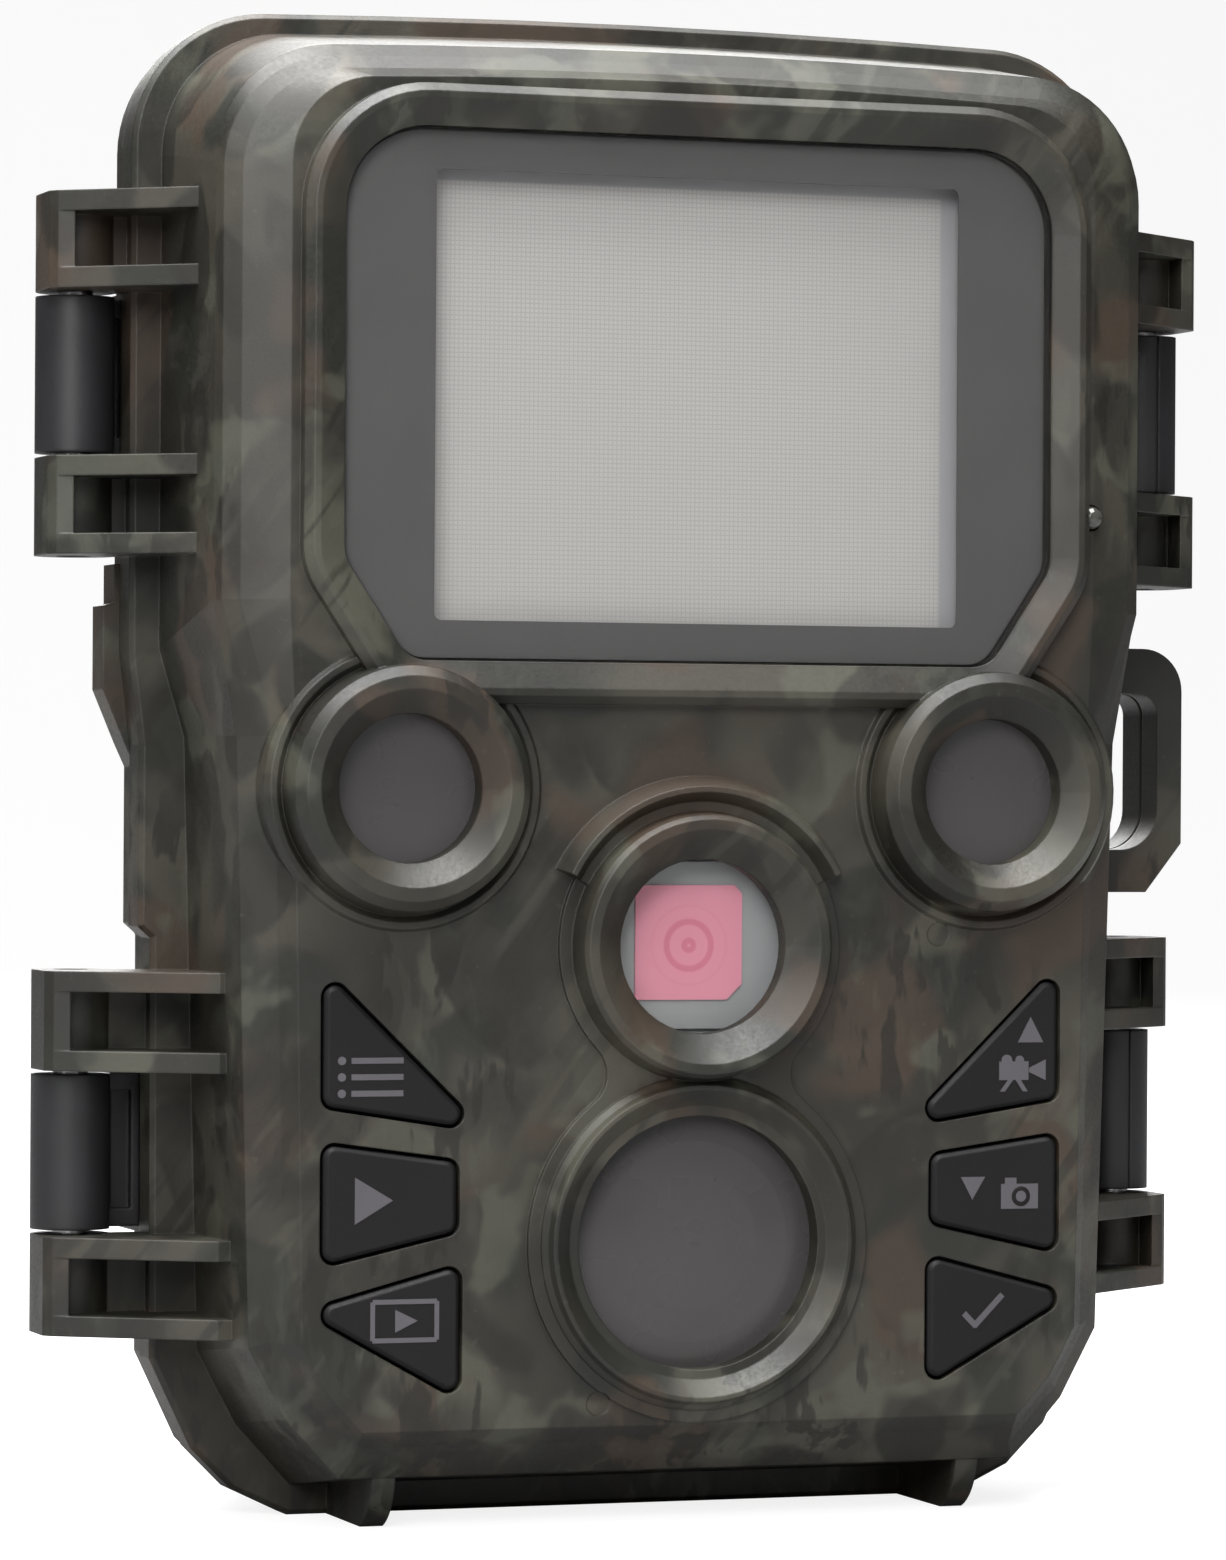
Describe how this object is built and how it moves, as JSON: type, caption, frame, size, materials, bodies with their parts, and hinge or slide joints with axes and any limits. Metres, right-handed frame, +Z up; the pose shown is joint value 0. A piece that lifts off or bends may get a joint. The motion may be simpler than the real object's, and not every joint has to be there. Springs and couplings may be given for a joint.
{
  "type": "trail camera",
  "caption": "Compact trail camera with a hinged front half, rear-facing battery bay, display and keys on the front, tree bracket and tripod socket.",
  "frame": {"origin": "mouth of the tripod socket in the underside, level with the feet", "axes": "+Z up, the lens looks along -Y, +X to the right of a person facing the lens"},
  "size_m": [0.0913, 0.0465, 0.1086],
  "materials": {
    "shell_plastic": "camouflage print over fine satin grain",
    "black_plastic": "satin",
    "key_plastic": "satin",
    "display_glass": "polished",
    "border_ink": "dark grey print",
    "lcd": "semi-gloss",
    "sensor_window": "satin, passes infrared",
    "lens_pane": "polished",
    "pink_film": "clear protective film",
    "white_plastic": "satin",
    "circuit_board": "solder mask",
    "led_resin": "clear resin",
    "steel": "bright",
    "nickel": "nickel plate",
    "brass": "turned",
    "rubber": "soft",
    "cell_wrap": "printed sleeve",
    "label_film": "metallised film"
  },
  "bodies": {
    "rear": {"rear_shell": "shell_plastic", "tree_brackets": "shell_plastic", "tripod_insert": "brass", "door_gasket": "rubber", "hinge_knuckle_upper": "black_plastic", "hinge_knuckle_lower": "black_plastic", "leaf_screws": "steel", "rating_label": "label_film"},
    "front": {"battery_cell_1": "cell_wrap", "battery_cell_2": "cell_wrap", "battery_cell_3": "cell_wrap", "battery_cell_4": "cell_wrap", "battery_contacts": "nickel", "battery_springs": "nickel", "board_chips": "black_plastic", "camera_board": "circuit_board", "card_socket": "nickel", "cover_screws": "steel", "display_border": "border_ink", "display_window": "display_glass", "front_shell": "shell_plastic", "hinge_pin_lower": "steel", "hinge_pin_upper": "steel", "inner_cover": "black_plastic", "ir_leds_left": "led_resin", "ir_leds_right": "led_resin", "key_switches": "nickel", "latch_pin_lower": "steel", "latch_pin_upper": "steel", "lcd_frame": "black_plastic", "lcd_panel": "lcd", "led_board_left": "circuit_board", "led_board_right": "circuit_board", "led_window_left": "sensor_window", "led_window_right": "sensor_window", "lens_barrel": "black_plastic", "lens_element": "lens_pane", "lens_film": "pink_film", "lens_holder": "white_plastic", "lens_window": "lens_pane", "main_board": "circuit_board", "microphone": "steel", "pir_board": "circuit_board", "pir_housing": "white_plastic", "pir_sensor": "steel", "pir_window": "sensor_window", "speaker": "black_plastic", "status_light": "led_resin", "switch_body": "black_plastic", "usb_port": "nickel"},
    "key_menu": {"key_menu": "key_plastic"},
    "key_forward": {"key_forward": "key_plastic"},
    "key_play": {"key_play": "key_plastic"},
    "key_up": {"key_up": "key_plastic"},
    "key_down": {"key_down": "key_plastic"},
    "key_ok": {"key_ok": "key_plastic"},
    "latch_lever_upper": {"latch_lever_upper": "black_plastic"},
    "latch_lever_lower": {"latch_lever_lower": "black_plastic"},
    "switch_knob": {"switch_knob": "black_plastic"},
    "memory_card": {"memory_card": "black_plastic"}
  },
  "joints": [
    {"name": "front_door", "type": "hinge", "parent": "rear", "child": "front", "pos_m": [-0.0415, -0.01, 0.054], "axis": [0, 0, -1], "range_deg": [0, 120]},
    {"name": "latch_upper", "type": "hinge", "parent": "front", "child": "latch_lever_upper", "pos_m": [0.0418, -0.01, 0.0811], "axis": [0, 0, -1], "range_deg": [0, 100]},
    {"name": "latch_lower", "type": "hinge", "parent": "front", "child": "latch_lever_lower", "pos_m": [0.0398, -0.01, 0.02845], "axis": [0, 0, -1], "range_deg": [0, 100]},
    {"name": "key_menu_press", "type": "slide", "parent": "front", "child": "key_menu", "axis": [0, 1, 0], "range_m": [0, 0.0005], "stiffness_N_per_m": 1500, "springref_m": -0.0003},
    {"name": "key_forward_press", "type": "slide", "parent": "front", "child": "key_forward", "axis": [0, 1, 0], "range_m": [0, 0.0005], "stiffness_N_per_m": 1500, "springref_m": -0.0003},
    {"name": "key_play_press", "type": "slide", "parent": "front", "child": "key_play", "axis": [0, 1, 0], "range_m": [0, 0.0005], "stiffness_N_per_m": 1500, "springref_m": -0.0003},
    {"name": "key_up_press", "type": "slide", "parent": "front", "child": "key_up", "axis": [0, 1, 0], "range_m": [0, 0.0005], "stiffness_N_per_m": 1500, "springref_m": -0.0003},
    {"name": "key_down_press", "type": "slide", "parent": "front", "child": "key_down", "axis": [0, 1, 0], "range_m": [0, 0.0005], "stiffness_N_per_m": 1500, "springref_m": -0.0003},
    {"name": "key_ok_press", "type": "slide", "parent": "front", "child": "key_ok", "axis": [0, 1, 0], "range_m": [0, 0.0005], "stiffness_N_per_m": 1500, "springref_m": -0.0003},
    {"name": "power_switch", "type": "slide", "parent": "front", "child": "switch_knob", "axis": [1, 0, 0], "range_m": [0, 0.004]},
    {"name": "card_travel", "type": "slide", "parent": "front", "child": "memory_card", "axis": [0, 0, -1], "range_m": [-0.001, 0.009]}
  ]
}
